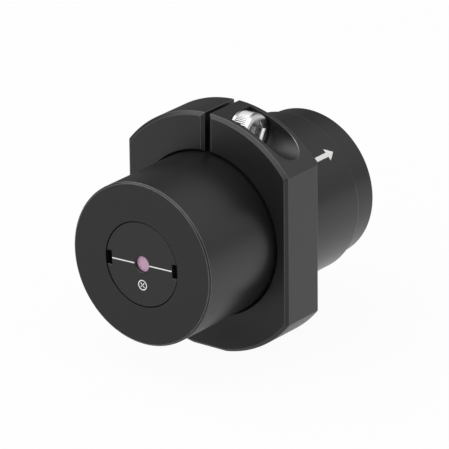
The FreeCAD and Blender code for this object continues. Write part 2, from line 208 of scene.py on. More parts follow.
def complete(piece, body, node, finish, sharp=32):
    """Shrinks a piece to metres, smooths it, gives it its finish and ties it to the CAD."""
    lift = (0, 0, AXIS)
    piece.data.transform(Matrix.Scale(MM, 4) @ Matrix.Translation(lift))
    piece.data.shade_smooth()
    piece.data.set_sharp_from_angle(angle=math.radians(sharp))
    steady = piece.modifiers.new("steady normals", "WEIGHTED_NORMAL")
    steady.keep_sharp = True
    piece.data.materials.clear()
    piece.data.materials.append(finish)
    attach(piece, body)
    if node:
        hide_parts(node)
    print(piece.name, "rides on", body, "with", len(piece.data.polygons), "faces")
    return piece


print("a face counts as a broken edge where it is narrower than", NARROW, "mm")

# %% [markdown]
# ## Colours and nodes
# A colour picked from a picture is an sRGB value, while a shader works with linear light, so one
# function does the change. Another adds a node with its settings and links in one line. Every material
# is procedural: it is worked out from the point's own place, so it needs no image and no unwrapping.

# %% Colour and node helpers
def linear(colour):
    """Linear red, green, blue and alpha of an sRGB hex colour."""
    values = [int(colour[k:k + 2], 16) / 255 for k in (1, 3, 5)]
    return [v / 12.92 if v <= 0.04045 else ((v + 0.055) / 1.055) ** 2.4 for v in values] + [1.0]


def add(material, kind, inputs=None, **settings):
    """Adds a node, sets it up, and fills its inputs with values or with other nodes' outputs."""
    made = material.node_tree.nodes.new(kind)
    for key, value in settings.items():
        setattr(made, key, value)
    for key, value in (inputs or {}).items():
        if isinstance(value, bpy.types.NodeSocket):
            material.node_tree.links.new(value, made.inputs[key])
        else:
            made.inputs[key].default_value = value
    return made


def blank(name):
    """A material with an output and nothing else."""
    material = bpy.data.materials.new(name)
    material.use_nodes = True
    material.node_tree.nodes.clear()
    return material, add(material, "ShaderNodeOutputMaterial")


print("mid grey #808080 is", round(linear("#808080")[0], 3), "in linear light")

# %% [markdown]
# ## Black anodised aluminium
# The ring, tube, cell and discs are machined aluminium with a black dyed oxide. The oxide is glassy and
# clear, about IOR 1.6, over a black dye, so it is shaded as a dark dielectric and not as a bare metal:
# its black deepens face on and turns silvery at a grazing angle. The ring was blasted with fine beads
# before the bath, which leaves a grain; the tube only carries the lathe's lines. Bead grain is really
# 0.05 to 0.1 mm, too fine for this picture, so it is drawn at 0.28 mm. On the marked edges some bare
# aluminium comes through, a bit more here and a bit less there: partly wear, partly a painted highlight
# that makes the edges shine as lines.

# %% Bead-blasted black for the slip ring
# share of bare metal on the marked edges: wear, and a painted highlight along them
WEAR_AND_GLINT = 0.7


def show_wear_and_glint(material, oxide, shade):
    """Lets bare metal through on the marked faces, over the colour in shade: wear with a painted highlight.
    """
    # the marked faces show bare metal: wear with a painted highlight on the edges
    marked = add(material, "ShaderNodeAttribute", attribute_name="wear_and_glint").outputs["Fac"]
    place = add(material, "ShaderNodeTexCoord").outputs["Object"]
    uneven = add(material, "ShaderNodeTexNoise", {"Vector": place, "Scale": 1 / (1.5 * MM), "Detail": 2.0})
    share = add(material, "ShaderNodeMapRange", {"Value": uneven.outputs["Fac"], "From Min": 0.3,
                                                 "From Max": 0.7, "To Min": 0.6 * WEAR_AND_GLINT, "To Max": WEAR_AND_GLINT})
    wear_and_glint = add(material, "ShaderNodeMath", {0: marked, 1: share.outputs["Result"]}, operation="MULTIPLY")
    bare = add(material, "ShaderNodeVectorMath",
               {0: wear_and_glint.outputs["Value"], 1: linear("#c8c8ca")[:3], 2: shade}, operation="MULTIPLY_ADD")
    material.node_tree.links.new(wear_and_glint.outputs["Value"], oxide.inputs["Metallic"])
    material.node_tree.links.new(bare.outputs["Vector"], oxide.inputs["Base Color"])


def blasted_black(name, dye, index, roughness, grain, with_wear_and_glint=False):
    """Dyed oxide over a bead-blasted surface. grain is the size of a dimple in millimetres."""
    material, output = blank(name)
    place = add(material, "ShaderNodeTexCoord").outputs["Object"]
    dimples = add(material, "ShaderNodeTexNoise",
                  {"Vector": place, "Scale": 1 / (grain * MM), "Detail": 2.0, "Roughness": 0.55})
    clouds = add(material, "ShaderNodeTexNoise", {"Vector": place, "Scale": 1 / (5 * MM), "Detail": 3.0})
    tone = add(material, "ShaderNodeMapRange", {"Value": clouds.outputs["Fac"], "From Min": 0.3,
                                                "From Max": 0.7, "To Min": 0.88, "To Max": 1.12})
    shade = add(material, "ShaderNodeVectorMath",
                {0: linear(dye)[:3], "Scale": tone.outputs["Result"]}, operation="SCALE")
    gloss = add(material, "ShaderNodeMapRange", {"Value": dimples.outputs["Fac"], "From Min": 0.3,
                                                 "From Max": 0.7, "To Min": roughness - 0.04,
                                                 "To Max": roughness + 0.05})
    relief = add(material, "ShaderNodeBump", {"Height": dimples.outputs["Fac"], "Strength": 0.25,
                                              "Distance": 0.02 * MM})
    oxide = add(material, "ShaderNodeBsdfPrincipled", {"Base Color": shade.outputs["Vector"],
                                                       "Roughness": gloss.outputs["Result"],
                                                       "Normal": relief.outputs["Normal"], "IOR": index})
    if with_wear_and_glint:
        show_wear_and_glint(material, oxide, shade.outputs["Vector"])
    material.node_tree.links.new(oxide.outputs["BSDF"], output.inputs["Surface"])
    return material


RING_DYE, DISC_DYE = "#0e0e0f", "#121213"
ring_black = blasted_black("black anodised, bead blasted", RING_DYE, 1.6, 0.42, 0.28, with_wear_and_glint=True)
disc_black = blasted_black("black anodised, fine blasted", DISC_DYE, 1.55, 0.42, 0.22)
print("ring black in linear light:", [round(v, 4) for v in linear(RING_DYE)[:3]])

# %% [markdown]
# ## The lathe's lines
# A turning tool leaves a very fine spiral, 0.05 to 0.1 mm from line to line, on the tube's side and on
# its faces. A wave texture would repeat too evenly. A one-dimensional noise runs along the profile
# instead: the distance along the axis plus the distance from it changes evenly on sides and faces alike,
# so one pattern serves both. It is drawn at 0.25 mm, coarse enough to show.

# %% Turned black for the tube and the cell
def turned_black(name, dye, index, roughness, pitch, with_wear_and_glint=False):
    """Dyed oxide over a turned surface. pitch is the distance between tool lines in millimetres."""
    material, output = blank(name)
    place = add(material, "ShaderNodeTexCoord").outputs["Object"]
    from_axis = add(material, "ShaderNodeVectorMath", {0: place, 1: (0, 0, AXIS * MM)},
                    operation="SUBTRACT").outputs["Vector"]
    flat = add(material, "ShaderNodeVectorMath", {0: from_axis, 1: (1, 0, 1)},
               operation="MULTIPLY").outputs["Vector"]
    radius = add(material, "ShaderNodeVectorMath", {0: flat}, operation="LENGTH").outputs["Value"]
    apart = add(material, "ShaderNodeSeparateXYZ", {0: place}).outputs
    along = add(material, "ShaderNodeMath", {0: apart["Y"], 1: radius}, operation="ADD")
    lines = add(material, "ShaderNodeTexNoise", {"W": along.outputs["Value"], "Scale": 1 / (pitch * MM),
                                                 "Detail": 2.0}, noise_dimensions="1D")
    grain = add(material, "ShaderNodeTexNoise", {"Vector": place, "Scale": 1 / (0.25 * MM), "Detail": 1.0})
    both = add(material, "ShaderNodeMath", {0: lines.outputs["Fac"], 1: grain.outputs["Fac"]},
               operation="ADD")
    gloss = add(material, "ShaderNodeMapRange", {"Value": both.outputs["Value"], "From Min": 0.7,
                                                 "From Max": 1.3, "To Min": roughness - 0.04,
                                                 "To Max": roughness + 0.04})
    relief = add(material, "ShaderNodeBump", {"Height": both.outputs["Value"], "Strength": 0.18,
                                              "Distance": 0.012 * MM})
    oxide = add(material, "ShaderNodeBsdfPrincipled", {"Base Color": linear(dye), "IOR": index,
                                                       "Roughness": gloss.outputs["Result"],
                                                       "Normal": relief.outputs["Normal"]})
    if with_wear_and_glint:
        show_wear_and_glint(material, oxide, linear(dye)[:3])
    material.node_tree.links.new(oxide.outputs["BSDF"], output.inputs["Surface"])
    return material


tube_black = turned_black("black anodised, turned", "#121213", 1.5, 0.34, 0.25, with_wear_and_glint=True)
cell_black = turned_black("black anodised, turned, cell", "#101011", 1.5, 0.34, 0.25, with_wear_and_glint=True)
mount_black = turned_black("black anodised, turned, inside", "#101011", 1.6, 0.45, 0.3)
print("turned blacks:", "; ".join(black.name for black in (tube_black, cell_black, mount_black)))

# %% [markdown]
# ## Bright metals
# The clamp screw is stainless steel, cold headed and tumbled, so it is bright with a soft, slightly
# uneven gloss. Inside are nickel-plated magnets and brass pieces. All are true metals: metallic 1 and
# the default IOR, with the reflected colour as base colour. The small set screws are black oxide steel.

# %% Steel, nickel and brass
def metal(name, colour, roughness, spread, blotch):
    """A bare metal whose gloss wanders by spread over patches of blotch millimetres."""
    material, output = blank(name)
    place = add(material, "ShaderNodeTexCoord").outputs["Object"]
    patches = add(material, "ShaderNodeTexNoise", {"Vector": place, "Scale": 1 / (blotch * MM),
                                                   "Detail": 3.0})
    gloss = add(material, "ShaderNodeMapRange", {"Value": patches.outputs["Fac"], "From Min": 0.3,
                                                 "From Max": 0.7, "To Min": roughness - spread,
                                                 "To Max": roughness + spread})
    relief = add(material, "ShaderNodeBump", {"Height": patches.outputs["Fac"], "Strength": 0.12,
                                              "Distance": 0.01 * MM})
    surface = add(material, "ShaderNodeBsdfPrincipled", {"Base Color": linear(colour), "Metallic": 1.0,
                                                         "Roughness": gloss.outputs["Result"],
                                                         "Normal": relief.outputs["Normal"]})
    material.node_tree.links.new(surface.outputs["BSDF"], output.inputs["Surface"])
    return material


stainless = metal("stainless steel, tumbled", "#c8c8c8", 0.25, 0.03, 1.2)
black_oxide = metal("steel, black oxide", "#4a4a4c", 0.38, 0.06, 0.3)
nickel = metal("nickel plate", "#cfc8ba", 0.2, 0.05, 0.6)
brass = metal("brass, turned", "#d8b670", 0.3, 0.06, 0.4)
print("metals:", "; ".join(bare.name for bare in (stainless, black_oxide, nickel, brass)))

# %% [markdown]
# ## Glass and crystal
# The window in each disc carries a thin coating that throws back pink light; that reflection is all that
# shows through the small aperture. A clear glass with a thin film would be closest to how it works, but
# its pink would be faint, because it depends on what lies behind. The coating's pink is given as the
# base colour under a polished coat instead. The prisms and the crystal are plain refracting solids.

# %% Coated window, prism glass and crystal
def coated_glass(name, colour):
    """A polished window whose coating reflects one colour, a little uneven from dust and handling."""
    material, output = blank(name)
    place = add(material, "ShaderNodeTexCoord").outputs["Object"]
    haze = add(material, "ShaderNodeTexNoise", {"Vector": place, "Scale": 1 / (0.8 * MM), "Detail": 2.0})
    tone = add(material, "ShaderNodeMapRange", {"Value": haze.outputs["Fac"], "From Min": 0.3,
                                                "From Max": 0.7, "To Min": 0.95, "To Max": 1.05})
    shade = add(material, "ShaderNodeVectorMath",
                {0: linear(colour)[:3], "Scale": tone.outputs["Result"]}, operation="SCALE")
    surface = add(material, "ShaderNodeBsdfPrincipled", {"Base Color": shade.outputs["Vector"],
                                                         "Roughness": 0.3, "IOR": 1.46,
                                                         "Coat Weight": 0.6, "Coat Roughness": 0.03})
    material.node_tree.links.new(surface.outputs["BSDF"], output.inputs["Surface"])
    return material


def clear_solid(name, colour, index):
    """A polished transparent solid with a trace of waviness in its surface."""
    material, output = blank(name)
    place = add(material, "ShaderNodeTexCoord").outputs["Object"]
    waves = add(material, "ShaderNodeTexNoise", {"Vector": place, "Scale": 1 / (3 * MM), "Detail": 1.0})
    relief = add(material, "ShaderNodeBump", {"Height": waves.outputs["Fac"], "Strength": 0.05,
                                              "Distance": 0.01 * MM})
    surface = add(material, "ShaderNodeBsdfPrincipled", {"Base Color": linear(colour), "Roughness": 0.03,
                                                         "IOR": index, "Transmission Weight": 1.0,
                                                         "Normal": relief.outputs["Normal"]})
    material.node_tree.links.new(surface.outputs["BSDF"], output.inputs["Surface"])
    return material


pink_window = coated_glass("coated window, pink", "#d2a8c2")
prism_glass = clear_solid("optical glass", "#f4faf6", 1.52)
crystal = clear_solid("garnet crystal", "#f0dcae", 1.95)
print("a glass face throws back", round(((1.52 - 1) / (1.52 + 1)) ** 2, 3), "of the light, a garnet face",
      round(((1.95 - 1) / (1.95 + 1)) ** 2, 3))

# %% [markdown]
# ## White marking
# The disc's line and the arrow are filled with white paint. Fresh paint is not one flat white: it has
# faint specks where the filling is thin. They are about 0.1 mm, drawn at 0.15 mm.

# %% White paint
marking, paint_output = blank("white marking paint")
paint_place = add(marking, "ShaderNodeTexCoord").outputs["Object"]
specks = add(marking, "ShaderNodeTexNoise", {"Vector": paint_place, "Scale": 1 / (0.15 * MM), "Detail": 1.0})
paint_tone = add(marking, "ShaderNodeMapRange", {"Value": specks.outputs["Fac"], "From Min": 0.25,
                                                 "From Max": 0.5, "To Min": 0.9, "To Max": 1.0})
paint_shade = add(marking, "ShaderNodeVectorMath", {0: linear("#f7f7f5")[:3],
                                                    "Scale": paint_tone.outputs["Result"]}, operation="SCALE")
paint = add(marking, "ShaderNodeBsdfPrincipled", {"Base Color": paint_shade.outputs["Vector"],
                                                  "Roughness": 0.5, "IOR": 1.5})
marking.node_tree.links.new(paint.outputs["BSDF"], paint_output.inputs["Surface"])
print(marking.name, "has", len(marking.node_tree.nodes), "nodes")

# %% [markdown]
# ## The slip ring
# The ring is a slice of round bar with two sides milled flat, a foot, and a saw cut at the top that
# lets the screw squeeze it. Its outline could be cut out of a disc step by step, but then the 0.6 mm
# chamfer that runs round both faces would have to follow. Here the outline is a function of how far it
# is drawn in, so the chamfer is simply a few more rows of the same outline, a little smaller each time.
# Every row needs the same number of points, so each arc has a fixed count that the inset doesn't change.

# %% The ring's outline
RING_RADIUS, RING_FLAT, RING_HALF = 22.65, 17.8, 4.96
BORE_RADIUS, SLIT = 15.29, 1.1


def arc(radius, start, end, count):
    """Points of an arc, without its ends. Angles run clockwise from the top, in degrees."""
    turns = [math.radians(start + (end - start) * k / count) for k in range(1, count)]
    return [(radius * math.sin(t), radius * math.cos(t), 0) for t in turns]


def ring_row(inset, depth, bore_inset, bore_depth, side):
    """The outline drawn in by inset at a depth below one face, with its own inset and depth for the bore."""
    outside, bore = RING_RADIUS - inset, BORE_RADIUS + bore_inset
    wall, flat, foot = SLIT / 2 + inset, RING_FLAT - inset, AXIS - inset
    shoulder = math.sqrt(outside ** 2 - flat ** 2)
    heel = math.sqrt(outside ** 2 - foot ** 2)
    first = math.degrees(math.asin(wall / outside))
    last = math.degrees(math.asin(flat / outside))
    sole = 180 - math.degrees(math.asin(heel / outside))
    gap = math.degrees(math.asin(wall / bore))
    right = [(wall, math.sqrt(outside ** 2 - wall ** 2), 0.12)]
    right += arc(outside, first, last, 72)
    right += [(flat, shoulder, 0.14), (flat, -shoulder, 0.14)]
    right += arc(outside, 180 - last, sole, 60)
    right += [(heel, -foot, 0.1)]
    left = [(-x, z, reach) for x, z, reach in reversed(right)]
    mouth = math.sqrt(bore ** 2 - wall ** 2)
    inside = [(-wall, mouth, 0.06)] + arc(bore, -gap, gap - 360, 360) + [(wall, mouth, 0.06)]
    points = rounded(right + left + inside)
    first_inside = len(points) - (len(inside) + 2 * 4)
    return [(p.x, side * (RING_HALF - (bore_depth if k >= first_inside else depth)), p.y)
            for k, p in enumerate(points)]


def chamfer_steps(width, reach, steps=3):
    """(inset, depth) pairs that lead from a face, over a chamfer with softened corners, to a side."""
    path = rounded([(width + 3 * reach, 0, 0), (width, 0, reach), (0, width, reach),
                    (0, width + 3 * reach, 0)], steps, closed=False)
    return [(p.x, p.y) for p in path]


rows = []
for side in (-1, 1):
    steps = zip(chamfer_steps(0.6, 0.09), chamfer_steps(0.36, 0.05))
    made = [ring_row(inset, depth, bore_inset, bore_depth, side)
            for (inset, depth), (bore_inset, bore_depth) in steps]
    rows += made if side < 0 else list(reversed(made))
ring_corners, ring_faces = skin(rows)
count = len(rows[0])
ring_faces += [list(range(count)), list(range(len(ring_corners) - count, len(ring_corners)))]
ring = solid("split_ring", (ring_corners, ring_faces))
print("the ring's outline has", count, "points in each of", len(rows), "rows")

# %% [markdown]
# ## The screw's pocket
# An end mill sinks a flat-floored slot with a round bottom from the side. It lies so near the top that
# its straight walls run right out of the round outside. A plain cutter would do, but its rim would be
# perfectly sharp, and a Bevel modifier slides badly along such a rim. So the cutter itself flares a
# tenth of a millimetre before it leaves the metal: at each point of its outline it is known where the
# wall meets the round outside, and the flare's direction splits the angle between the two surfaces.

# %% Cut the pocket
CLAMP_Z, POCKET_RADIUS, POCKET_FLOOR, RIM_BREAK = 19.35, 3.5, 3.7, 0.11


def pocket_outline():
    """Points (y, z) of the U, each with the direction (y, z) in which its wall faces outwards."""
    points = [(POCKET_RADIUS, z, 1.0, 0.0) for z in (24.0, 23.0, 22.6, 22.45, 22.36, 22.3)]
    points += [(POCKET_RADIUS, 22.2 - 0.15 * k, 1.0, 0.0) for k in range(19)]
    for k in range(97):
        turn = math.pi * k / 96
        side, down = math.cos(turn), -math.sin(turn)
        points.append((POCKET_RADIUS * side, CLAMP_Z + POCKET_RADIUS * down, side, down))
    left = [(-y, z, -side, down) for y, z, side, down in points[:25]]
    return points + left[::-1]


def pocket_cutter():
    """Cutter for the pocket, flared where its wall comes out of the ring's round outside."""
    floor, wall, flare, outlet = [], [], [], []
    for y, z, side, down in pocket_outline():
        edge = math.sqrt(max(RING_RADIUS ** 2 - z ** 2, 0))
        lean = Vector((1 - z / RING_RADIUS * down, max(edge, 1.0) / RING_RADIUS)).normalized() * 0.55
        start = max(edge - RIM_BREAK, POCKET_FLOOR + 0.02)
        floor.append((POCKET_FLOOR, y, z))
        wall.append((start, y, z))
        flare.append((start + lean.x, y + lean.y * side, z + lean.y * down))
        outlet.append((26.0, y + lean.y * side, z + lean.y * down))
    corners, faces = skin([floor, wall, flare, outlet])
    count = len(floor)
    return corners, faces + [list(range(count)), list(range(3 * count, 4 * count))]


def drilled(radius, start, end, height):
    """Cutter for a straight hole along X."""
    corners, faces = rod([(start, 0.001, 0), (start, radius, 0), (end, radius, 0), (end, 0.001, 0)], 64, "X")
    return [(x, y, z + height) for x, y, z in corners], faces


print("pocket:", cut_away(ring, pocket_cutter()), "more faces")
print("clearance hole:", cut_away(ring, drilled(2.28, 0.0, POCKET_FLOOR + 0.5, CLAMP_Z)), "more faces")
print("tapped hole:", cut_away(ring, drilled(2.13, -6.1, 0.0, CLAMP_Z)), "more faces")

# %% [markdown]
# ## Threads
# A real thread is a helix: go once round and the crest has moved on by one pitch. A stack of separate
# grooves would look alike from afar, but the ends would give it away. Letting the radius depend on both
# the turn and the distance makes a true helix out of the same rows. The clamp screw has 0.79 mm between
# crests and so has the post hole; the set screws have 0.45 mm. The same rod with a thread serves as a
# screw, and as the tap that cuts the hole for the post.

# %% Threaded rods
def threaded(start, end, crest, root, pitch, count=48, axis="Y", steps=8):
    """Rows of a right-hand thread from start to end, tapered at both ends."""
    rows = []
    total = max(2, round((end - start) / pitch * steps))
    for k in range(total + 1):
        along = start + (end - start) * k / total
        near_end = min(along - start, end - along)

        def radius(turn, along=along, near_end=near_end):
            phase = (along / pitch - turn / (2 * math.pi)) % 1.0
            height = min(max((abs(phase - 0.5) * 2 - 0.12) / 0.76, 0.0), 1.0)
            return min(root + (crest - root) * height, root - 0.1 + near_end * 1.2)

        rows.append(loop(along, radius, count, axis))
    return rows


def capped(rows):
    """Closes rows by the middle point of the first and the last."""
    ends = [tuple(sum(values) / len(row) for values in zip(*row)) for row in (rows[0], rows[-1])]
    return skin([[ends[0]]] + rows + [[ends[1]]])


tap = capped(threaded(-AXIS - 1.0, -AXIS + 5.6, 2.08, 1.725, 0.79, axis="Z"))
print("post hole thread:", cut_away(ring, tap), "more faces")
mouth = rod([(-AXIS - 0.6, 0.001, 0), (-AXIS - 0.6, 2.9, 0), (-AXIS + 0.4, 1.9, 0), (-AXIS + 0.4, 0.001, 0)],
            64, "Z")
print("post hole mouth:", cut_away(ring, mouth), "more faces")
mark_wear_and_glint(ring, 16.5, 0.15)
complete(ring, "ring", "slip_ring", ring_black)

# %% [markdown]
# ## The clamp screw
# The head is 6.7 mm across with a straight knurl for the fingers and a hexagon socket for the key. Cut
# booleans for 54 little grooves would be slow and would leave slivers. Instead each row of the head
# goes round in 432 points, which divides by both 54 and 6: eight points to a groove, and a point on
# every corner of the hexagon. The knurl lies between a slimmer plain collar and a rounded bevel, and its
# depth fades in and out along the head. The socket's mouth tapers a little, as a punch leaves it, and
# the taper's lower right side is what shines in the picture.

# %% Head, socket and shank
HEAD_POINTS, GROOVES = 432, 54
HEAD_START, HEAD_END, HEAD_RADIUS = 3.7, 7.87, 3.35
SOCKET, MOUTH = 3.57, 1.15
LEVEL = math.pi / 6  # twists a hexagon by half a corner, so that two of its flats lie level


def knurled(radius, depth):
    """Radius of a straight knurl: broad crests with rounded grooves between them."""
    def at(turn):
        wave = (1 - math.cos(turn * GROOVES)) / 2
        return radius - depth * wave ** 2
    return at


def hexagon(across, twist=0.0):
    """Radius of a hexagon with this width across its flats, twisted by an angle in radians."""
    def at(turn):
        return across / 2 / math.cos(((turn - twist + math.pi / 6) % (math.pi / 3)) - math.pi / 6)
    return at


# (distance from the bearing face, distance inside the full radius, depth of the knurl)
head = [(0.0, 2.3, 0), (0.0, 0.4, 0), (0.03, 0.32, 0), (0.1, 0.28, 0), (0.3, 0.33, 0), (0.6, 0.42, 0),
        (0.7, 0.4, 0), (0.78, 0.2, 0.02), (0.86, 0.05, 0.05), (0.98, 0.0, 0.07), (3.08, 0.0, 0.07),
        (3.18, 0.0, 0.05), (3.3, 0.0, 0.0), (3.55, 0.01, 0), (3.8, 0.04, 0), (3.95, 0.09, 0), (4.05, 0.16, 0),
        (4.12, 0.25, 0), (4.16, 0.36, 0), (4.17, 0.44, 0), (4.17, 0.8, 0)]
head_rows = [loop(HEAD_START + x, knurled(HEAD_RADIUS - inside, depth), HEAD_POINTS, "X")
             for x, inside, depth in head]
mouth, wall = hexagon(SOCKET * MOUTH, LEVEL), hexagon(SOCKET, LEVEL)
# (depth below the head's face, radius)
socket = [(0.0, lambda turn: mouth(turn) + 0.05), (0.04, mouth), (0.66, hexagon(SOCKET + 0.01, LEVEL)),
          (0.7, wall), (1.95, wall), (2.0, hexagon(SOCKET - 0.11, LEVEL)), (2.18, 0.02)]
head_rows += [loop(HEAD_END - depth, radius, HEAD_POINTS, "X") for depth, radius in socket]
shank_rows = threaded(-5.8, HEAD_START + 0.1, 2.085, 1.65, 0.79, axis="X")
clamp_corners, clamp_faces = joined(capped(head_rows), capped(shank_rows))
clamp_corners = [(x, y, z + CLAMP_Z) for x, y, z in clamp_corners]
complete(solid("cap_screw", (clamp_corners, clamp_faces)), "clamp_screw", "clamp_screw",
         stainless)
print("a knurl groove is", round(2 * math.pi * HEAD_RADIUS / GROOVES, 2), "mm wide")

# %% [markdown]
# ## The tube
# The housing is one turned piece, 30.48 mm across, with both edges broken. A deep counterbore at the
# front takes the disc and the polariser's mount, and the cavity behind takes the magnets. Its profile
# is closed, so it is spun as one skin with no caps. Two tapped holes underneath take the set screws;
# their cutters are a little wider at the mouth, which breaks the edge as a countersink does.

# %% Spin the tube and drill it
FRONT, SEAM, REAR = -24.2, 20.94, 26.84
TUBE_RADIUS, CELL_BORE = 15.24, 8.0
tube = solid("housing_tube", spun([
    (FRONT, CELL_BORE, 0.07), (FRONT, 14.94, 0.08), (FRONT + 0.3, TUBE_RADIUS, 0.08),
    (SEAM - 0.3, TUBE_RADIUS, 0.15), (SEAM, 14.94, 0.08), (SEAM, 12.8, 0.08),
    (-14.25, 12.8, 0), (-14.25, 2.1, 0), (-15.25, 2.1, 0), (-15.25, CELL_BORE, 0)], 288))
for place in (-18.8, 18.44):
    hole = rod([(-15.6, 0.001, 0), (-15.6, 1.85, 0), (-14.95, 1.15, 0), (-6.0, 1.15, 0), (-6.0, 0.001, 0)],
               64, "Z")
    moved = [(x, y + place, z) for x, y, z in hole[0]], hole[1]
    print("set screw hole:", cut_away(tube, moved), "more faces")
mark_wear_and_glint(tube, 13.0, 0.3)
complete(tube, "barrel", "barrel", tube_black)

# %% [markdown]
# ## The tuning cell
# At the rear a narrower piece turns in the tube to tune the isolator. Only its flange shows, 28.4 mm
# across, with the tube's edge standing round it as a fine step. The spigot in the tube is drawn too,
# because turning the cell must not show a hollow.

# %% Spin the cell
cell = solid("tuning_cell", spun([
    (16.04, 2.1, 0), (16.04, 12.75, 0.05), (20.99, 12.75, 0), (20.99, 14.2, 0.06), (REAR - 0.3, 14.2, 0.08),
    (REAR, 13.9, 0.08), (REAR, CELL_BORE, 0.07), (17.89, CELL_BORE, 0), (17.89, 2.1, 0)], 288))
mark_wear_and_glint(cell, 10.0, 0.15)
complete(cell, "output_cell", "output_cell", cell_black)

# %% [markdown]
# ## The discs
# A retaining disc closes each end. It is turned with its aperture and the window's seat, then milled
# with two slots for a spanner. A fine line is engraved from the aperture to each slot and filled with
# white: it marks the plane of polarisation. The line could be painted on in the material, but real
# engraving keeps its place in any model made from this scene, so it is cut 0.06 mm deep and filled.

# %% One function for both discs
PAINT_DEPTH = 0.012


def block(low, high):
    """A box between two corners, as rows of four points."""
    (x0, y0, z0), (x1, y1, z1) = low, high
    return skin([[(x0, y0, z0), (x1, y0, z0), (x1, y0, z1), (x0, y0, z1)],
                 [(x0, y1, z0), (x1, y1, z0), (x1, y1, z1), (x0, y1, z1)]])


def closed_block(low, high):
    """The same box with its two ends."""
    corners, faces = block(low, high)
    return corners, faces + [[0, 1, 2, 3], [4, 5, 6, 7]]


def slot_cutter(side, face, inwards):
    """Cutter for a spanner slot, with a mouth that opens by a tenth of a millimetre."""
    rows = []
    for depth, grow in ((-0.3, 0.4), (0.0, 0.1), (0.1, 0.0), (1.2, 0.0)):
        near, far, half = side * (6.7 - grow), side * 10.0, 1.3 + grow
        y = face + inwards * depth
        rows.append([(near, y, -half), (far, y, -half), (far, y, half), (near, y, half)])
    corners, faces = skin(rows)
    return corners, faces + [[0, 1, 2, 3], [12, 13, 14, 15]]


def retaining_disc(name, face, inwards):
    """A disc whose face is at y = face, and which goes inwards along +Y or -Y."""
    def y(depth):
        return face + inwards * depth
    disc = solid(name, spun([
        (y(0), 1.68, 0.04), (y(0), 7.85, 0.08), (y(2.0), 7.85, 0.05), (y(2.0), 4.05, 0), (y(0.7), 4.05, 0),
        (y(0.7), 1.5, 0.02), (y(0.16), 1.5, 0.04)], 192))
    for side in (-1, 1):
        cut_away(disc, slot_cutter(side, face, inwards))
        low, high = sorted((side * 1.3, side * 7.0)), sorted((y(-0.2), y(0.06)))
        cut_away(disc, closed_block((low[0], high[0], -0.12), (low[1], high[1], 0.12)))
    return disc


def engraved_line(name, face, inwards):
    """The paint in the disc's engraved line, a hair below the surface."""
    halves = []
    for side in (-1, 1):
        low = sorted((side * 1.66, side * 6.62))
        high = sorted((face + inwards * PAINT_DEPTH, face + inwards * 0.07))
        halves.append(closed_block((low[0], high[0], -0.118), (low[1], high[1], 0.118)))
    return solid(name, joined(*halves))


print("the paint lies", PAINT_DEPTH, "mm below the disc's face")


# %% [markdown]
# The front disc also gets a small sign under the line: a ring with a cross, the usual sign for
# something that goes into the page, since this is the side where light goes in. A disc is screwed in
# until it holds and its slots come to stand anywhere, so the front one is turned by 1.6 degrees.

# %% Make both discs
DISC_FRONT, DISC_REAR = FRONT + 0.1, REAR - 0.1
front_disc = retaining_disc("input_cap", DISC_FRONT, 1)
SIGN_Z = -3.9
sign = [spun([(DISC_FRONT - 0.2, 0.78, 0), (DISC_FRONT - 0.2, 0.98, 0), (DISC_FRONT + 0.06, 0.98, 0),
              (DISC_FRONT + 0.06, 0.78, 0)], 64)]
for tilt in (45, 135):
    turn = Matrix.Rotation(math.radians(tilt), 4, "Y")
    bar = closed_block((-0.6, DISC_FRONT - 0.2, -0.09), (0.6, DISC_FRONT + 0.06, 0.09))
    sign.append(([tuple(turn @ Vector(c)) for c in bar[0]], bar[1]))
for shape in sign:
    cut_away(front_disc, ([(x, y, z + SIGN_Z) for x, y, z in shape[0]], shape[1]))
front_line = engraved_line("input_line", DISC_FRONT, 1)
filling = joined(*[([(x, max(y, DISC_FRONT + PAINT_DEPTH), z + SIGN_Z) for x, y, z in shape[0]], shape[1])
                   for shape in sign])
front_sign = solid("input_sign", filling)
screwed_in = Matrix.Rotation(math.radians(-1.6), 4, "Y")
for piece in (front_disc, front_line, front_sign):
    piece.data.transform(screwed_in)
complete(front_disc, "barrel", "input_disc", disc_black)
complete(front_line, "barrel", None, marking)
complete(front_sign, "barrel", None, marking)
rear_disc = retaining_disc("output_cap", DISC_REAR, -1)
complete(rear_disc, "output_cell", "output_disc", disc_black)
complete(engraved_line("output_line", DISC_REAR, -1), "output_cell", None, marking)

# %% [markdown]
# ## The arrow
# A white arrow on the tube shows which way the light runs. It is printed, so it is only a film of paint
# on the round surface. A flat cut-out would sink into the tube at its middle and float at its edges, so
# every point is given by its distance round the tube and along it, and is then laid on the cylinder.

# %% Lay the arrow on the tube
ARROW_TURN = math.radians(45.8)


def laid_on_tube(stations, across=10):
    """A thin closed film from (distance along, half width) stations, laid on the tube."""
    rows = []
    for along, half in stations:
        top, bottom = [], []
        for k in range(across + 1):
            turn = ARROW_TURN + (2 * k / across - 1) * half / TUBE_RADIUS
            for row, radius in ((top, TUBE_RADIUS + 0.012), (bottom, TUBE_RADIUS - 0.02)):
                row.append((radius * math.sin(turn), along, radius * math.cos(turn)))
        rows.append(top + bottom[::-1])
    corners, faces = skin(rows)
    count = 2 * (across + 1)
    return corners, faces + [list(range(count)), list(range(len(corners) - count, len(corners)))]


shaft = laid_on_tube([(13.49 + 0.5 * k, 0.44) for k in range(7)] + [(16.95, 0.44)])
point = laid_on_tube([(16.88, 1.225), (17.34, 0.93), (17.8, 0.625), (18.26, 0.32), (18.72, 0.015)])
complete(solid("flow_arrow", joined(shaft, point)), "barrel", None, marking)

# %% [markdown]
# ## The set screws
# Two headless screws under the tube lock the polariser's mount and the tuning cell. They are threaded
# from end to end with a small hexagon socket, so they are made of the same rows as the clamp screw.

